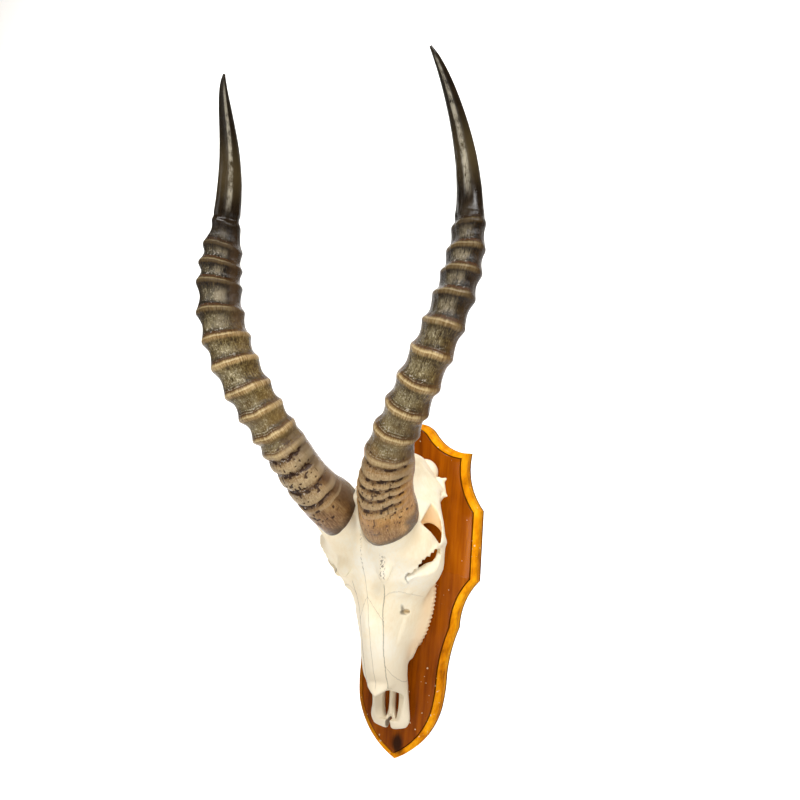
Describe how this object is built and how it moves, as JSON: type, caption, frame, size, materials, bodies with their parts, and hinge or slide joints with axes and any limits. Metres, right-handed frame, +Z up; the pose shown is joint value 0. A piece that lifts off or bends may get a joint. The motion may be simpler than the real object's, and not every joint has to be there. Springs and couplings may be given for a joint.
{
  "type": "antelope skull wall mount",
  "caption": "Bleached antelope skull with long ringed lyre-shaped horns, hung nose down on a moulded, shield-shaped board of varnished wood.",
  "frame": {"origin": "on the flat back of the wooden shield, on its middle line, where it meets the wall", "axes": "+Y into the wall, square to the shield's back; +Z up along the shield's middle line, towards the horn tips; +X to the viewer's right"},
  "size_m": [0.2718, 0.2764, 0.6313],
  "materials": {
    "varnished_wood": "gloss varnish",
    "bleached_bone": "matt, porous",
    "horn_sheath": "satin to glossy keratin, dark tips",
    "tooth_enamel": "satin",
    "zinc_plated_steel": "dull zinc plate"
  },
  "bodies": {
    "root": {"shield": "varnished_wood", "skull": "bleached_bone", "horn_right": "horn_sheath", "horn_left": "horn_sheath", "premolar_2_right": "tooth_enamel", "premolar_3_right": "tooth_enamel", "premolar_4_right": "tooth_enamel", "molar_1_right": "tooth_enamel", "molar_2_right": "tooth_enamel", "molar_3_right": "tooth_enamel", "premolar_2_left": "tooth_enamel", "premolar_3_left": "tooth_enamel", "premolar_4_left": "tooth_enamel", "molar_1_left": "tooth_enamel", "molar_2_left": "tooth_enamel", "molar_3_left": "tooth_enamel", "skull_screw_upper": "zinc_plated_steel", "skull_screw_lower": "zinc_plated_steel", "hanger_plate": "zinc_plated_steel", "hanger_screw_upper": "zinc_plated_steel", "hanger_screw_lower": "zinc_plated_steel"}
  },
  "joints": []
}
